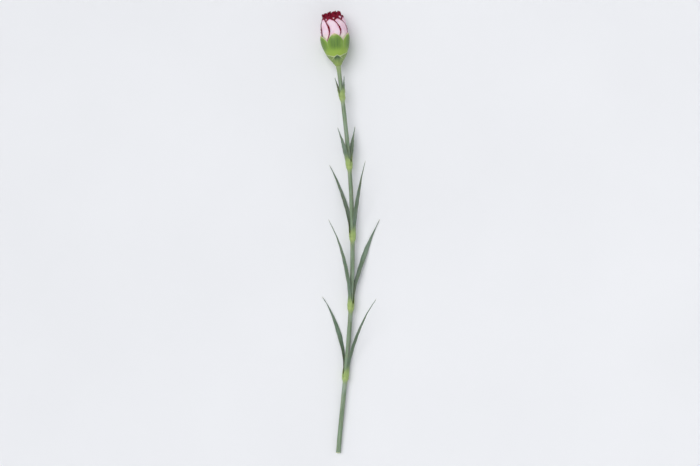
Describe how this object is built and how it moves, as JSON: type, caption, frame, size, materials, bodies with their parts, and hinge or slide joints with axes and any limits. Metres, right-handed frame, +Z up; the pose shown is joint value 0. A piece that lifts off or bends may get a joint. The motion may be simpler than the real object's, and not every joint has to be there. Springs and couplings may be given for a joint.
{
  "type": "cut carnation",
  "caption": "Single cut carnation lying on its side: slender jointed stem with narrow opposite leaves, toothed green calyx and a half-open white bloom with crimson picotee edges.",
  "frame": {"origin": "centre of the bounding box in X and Y, on the surface that the flower lies on", "axes": "+Y along the flower from the cut end of the stem to the bloom, +Z up from the surface, +X to the right when looked down on with the bloom at the far end"},
  "size_m": [0.0746, 0.5506, 0.0366],
  "materials": {
    "stem": "waxy blue-green with a pale bloom, brighter yellow-green at the nodes",
    "leaf": "waxy blue-grey green, matt",
    "bract": "soft green with pale papery rims",
    "calyx": "fresh green, satin, with pale tooth edges and brownish tips",
    "petal": "velvety white flushed pale pink, with narrow crimson serrated margins"
  },
  "bodies": {
    "root": {"stem": "stem", "leaf_pair1_right": "leaf", "leaf_pair1_left": "leaf", "leaf_pair2_right": "leaf", "leaf_pair2_left": "leaf", "leaf_pair3_right": "leaf", "leaf_pair3_left": "leaf", "leaf_pair4_right": "leaf", "leaf_pair4_left": "leaf", "leaf_pair5_right": "leaf", "leaf_pair5_left": "leaf", "bract_inner_right": "bract", "bract_inner_left": "bract", "bract_outer_top": "bract", "bract_outer_bottom": "bract", "calyx": "calyx", "guard_petal_1": "petal", "guard_petal_2": "petal", "guard_petal_3": "petal", "guard_petal_4": "petal", "guard_petal_5": "petal", "guard_petal_6": "petal", "guard_petal_7": "petal", "guard_petal_8": "petal", "petal_ring2_1": "petal", "petal_ring2_2": "petal", "petal_ring2_3": "petal", "petal_ring2_4": "petal", "petal_ring2_5": "petal", "petal_ring2_6": "petal", "petal_ring2_7": "petal", "petal_ring2_8": "petal", "petal_ring3_1": "petal", "petal_ring3_2": "petal", "petal_ring3_3": "petal", "petal_ring3_4": "petal", "petal_ring3_5": "petal", "petal_ring3_6": "petal", "petal_ring3_7": "petal", "petal_ring3_8": "petal", "petal_ring4_1": "petal", "petal_ring4_2": "petal", "petal_ring4_3": "petal", "petal_ring4_4": "petal", "petal_ring4_5": "petal", "petal_ring4_6": "petal", "petal_ring4_7": "petal", "petal_ring4_8": "petal", "petal_ring5_1": "petal", "petal_ring5_2": "petal", "petal_ring5_3": "petal", "petal_ring5_4": "petal", "petal_ring5_5": "petal", "petal_ring5_6": "petal", "petal_ring5_7": "petal", "petal_ring5_8": "petal"}
  },
  "joints": []
}
